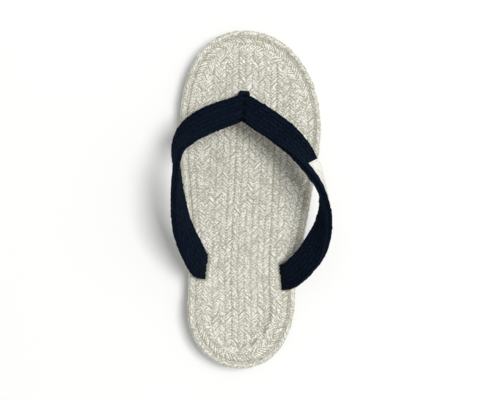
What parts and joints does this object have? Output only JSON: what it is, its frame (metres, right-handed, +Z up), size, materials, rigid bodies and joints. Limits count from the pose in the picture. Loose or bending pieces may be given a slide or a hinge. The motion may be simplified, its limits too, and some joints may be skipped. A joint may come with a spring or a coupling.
{
  "type": "rope slipper",
  "caption": "Flat thong slipper: layers of braided cotton rope with an edge braid, and one wide braided strap from the arch slits to a toe post.",
  "frame": {"origin": "on the floor under the middle of the sole, on the shoe's long axis", "axes": "+Y from heel to toe, +X to the outer side of this right shoe, +Z up, -Z out of the sole's flat underside"},
  "size_m": [0.1143, 0.25, 0.0565],
  "materials": {
    "sole_rope": "ecru herringbone-braided cotton rope, matte",
    "footbed_rope": "ecru herringbone-braided cotton rope, matte",
    "edge_rope": "ecru cotton edge braid, matte",
    "strap_braid": "dark navy braided cotton, matte",
    "post_braid": "dark navy braided cotton, matte",
    "label_weave": "off-white woven ribbon, softly lustrous, sewn on the outer arm"
  },
  "bodies": {
    "root": {"sole": "sole_rope", "footbed": "footbed_rope", "rim": "edge_rope", "strap": "strap_braid", "toe_post": "post_braid"}
  },
  "joints": []
}
